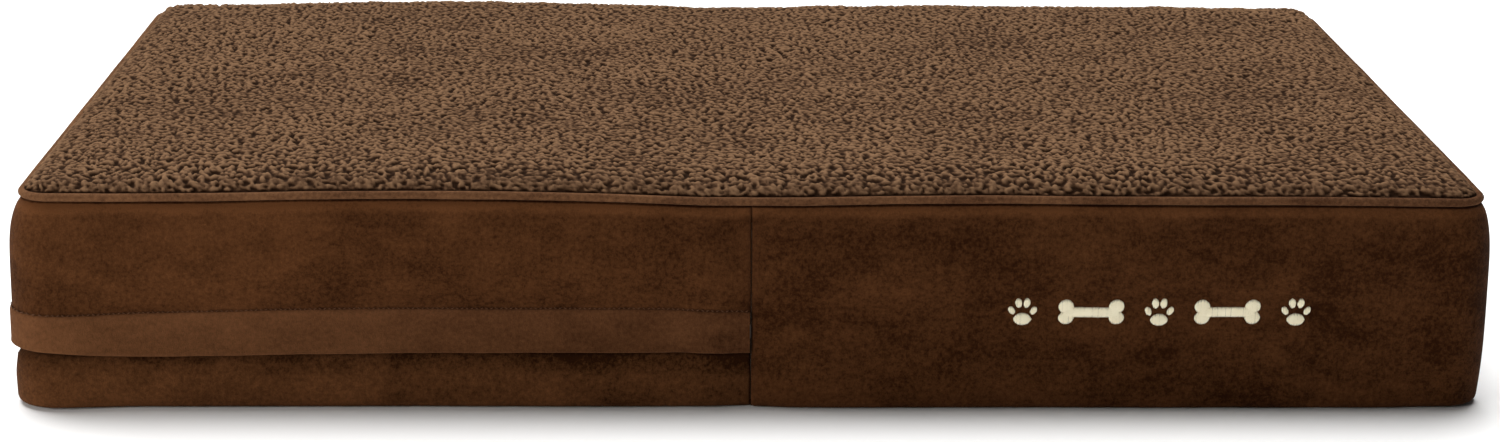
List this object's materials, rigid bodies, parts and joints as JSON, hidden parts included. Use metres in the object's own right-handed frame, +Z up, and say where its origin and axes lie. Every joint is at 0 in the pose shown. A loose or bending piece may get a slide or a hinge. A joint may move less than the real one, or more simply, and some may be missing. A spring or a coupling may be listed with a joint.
{
  "type": "pet cushion bed",
  "caption": "Rectangular foam pet bed with a curly fleece top, piped edge, suede-like sides and a removable cover whose zip is hidden under a flap.",
  "frame": {"origin": "on the floor under the middle of the bed", "axes": "+X along the bed to the right as seen from the front, -Y out of the front, +Z up"},
  "size_m": [1.016, 0.635, 0.1596],
  "materials": {
    "support_foam": "firm open-cell polyurethane foam, matte",
    "memory_foam": "smooth viscoelastic foam, matte",
    "liner_cloth": "coated waterproof cloth, slight sheen",
    "liner_zip_tape": "woven polyester tape",
    "liner_zip_coil": "nylon coil",
    "zip_metal": "antique brass plating, worn",
    "base_cloth": "plain woven base cloth, matte",
    "boxing_suede": "brushed microsuede with a soft nap",
    "flap_suede": "brushed microsuede with a soft nap",
    "piping_suede": "microsuede drawn tight over a cord",
    "piping_core": "twisted cotton cord",
    "fleece": "curled pile like lambswool, matte",
    "zip_tape": "woven polyester tape",
    "zip_coil": "nylon coil",
    "brown_thread": "spun polyester thread",
    "cream_thread": "rayon embroidery thread, satin"
  },
  "bodies": {
    "cushion": {"support_foam_slab": "support_foam", "memory_foam_slab": "memory_foam", "liner_top_panel": "liner_cloth", "liner_base_panel": "liner_cloth", "liner_boxing": "liner_cloth", "liner_zip_tape_upper": "liner_zip_tape", "liner_zip_tape_lower": "liner_zip_tape", "liner_zip_coil_upper": "liner_zip_coil", "liner_zip_coil_lower": "liner_zip_coil", "liner_zip_stops": "zip_metal", "base_panel": "base_cloth", "plain_boxing": "boxing_suede", "zip_boxing_upper": "boxing_suede", "zip_boxing_lower": "boxing_suede", "fleece_top_panel": "fleece", "piping_cord": "piping_core", "piping_sleeve": "piping_suede", "zip_tape_upper": "zip_tape", "zip_tape_lower": "zip_tape", "zip_coil_upper": "zip_coil", "zip_coil_lower": "zip_coil", "zip_top_stops": "zip_metal", "zip_bottom_stop": "zip_metal", "flap_end_front_seam": "flap_suede", "flap_end_front_corner": "flap_suede", "flap_end_back_corner": "flap_suede", "flap_end_back_seam": "flap_suede", "flap_topstitching": "brown_thread", "zip_topstitching": "brown_thread", "embroidered_motif": "cream_thread"},
    "front_flap": {"flap_front": "flap_suede"},
    "left_flap": {"flap_left": "flap_suede"},
    "back_flap": {"flap_back": "flap_suede"},
    "cover_zip_slider": {"zip_slider": "zip_metal"},
    "cover_zip_pull": {"zip_pull_tab": "zip_metal"},
    "liner_zip_runner": {"liner_zip_slider": "zip_metal", "liner_zip_pull_tab": "zip_metal"}
  },
  "joints": [
    {"name": "front_flap_lift", "type": "hinge", "parent": "cushion", "child": "front_flap", "pos_m": [0, -0.3165, 0.0665], "axis": [-1, 0, 0], "range_deg": [0, 120]},
    {"name": "left_flap_lift", "type": "hinge", "parent": "cushion", "child": "left_flap", "pos_m": [-0.507, 0, 0.0665], "axis": [0, 1, 0], "range_deg": [0, 120]},
    {"name": "back_flap_lift", "type": "hinge", "parent": "cushion", "child": "back_flap", "pos_m": [0, 0.3165, 0.0665], "axis": [1, 0, 0], "range_deg": [0, 120]},
    {"name": "cover_zip_slide", "type": "slide", "parent": "cushion", "child": "cover_zip_slider", "axis": [-1, 0, 0], "range_m": [0, 0.3]},
    {"name": "cover_zip_pull_swing", "type": "hinge", "parent": "cover_zip_slider", "child": "cover_zip_pull", "pos_m": [-0.11, -0.31415, 0.053], "axis": [0, 0, -1], "range_deg": [0, 60]},
    {"name": "liner_zip_slide", "type": "slide", "parent": "cushion", "child": "liner_zip_runner", "axis": [0, 1, 0], "range_m": [0, 0.5]}
  ],
  "couplings": [
    {"joint": "cover_zip_pull_swing", "follows": "front_flap_lift", "ratio": 0.5}
  ]
}
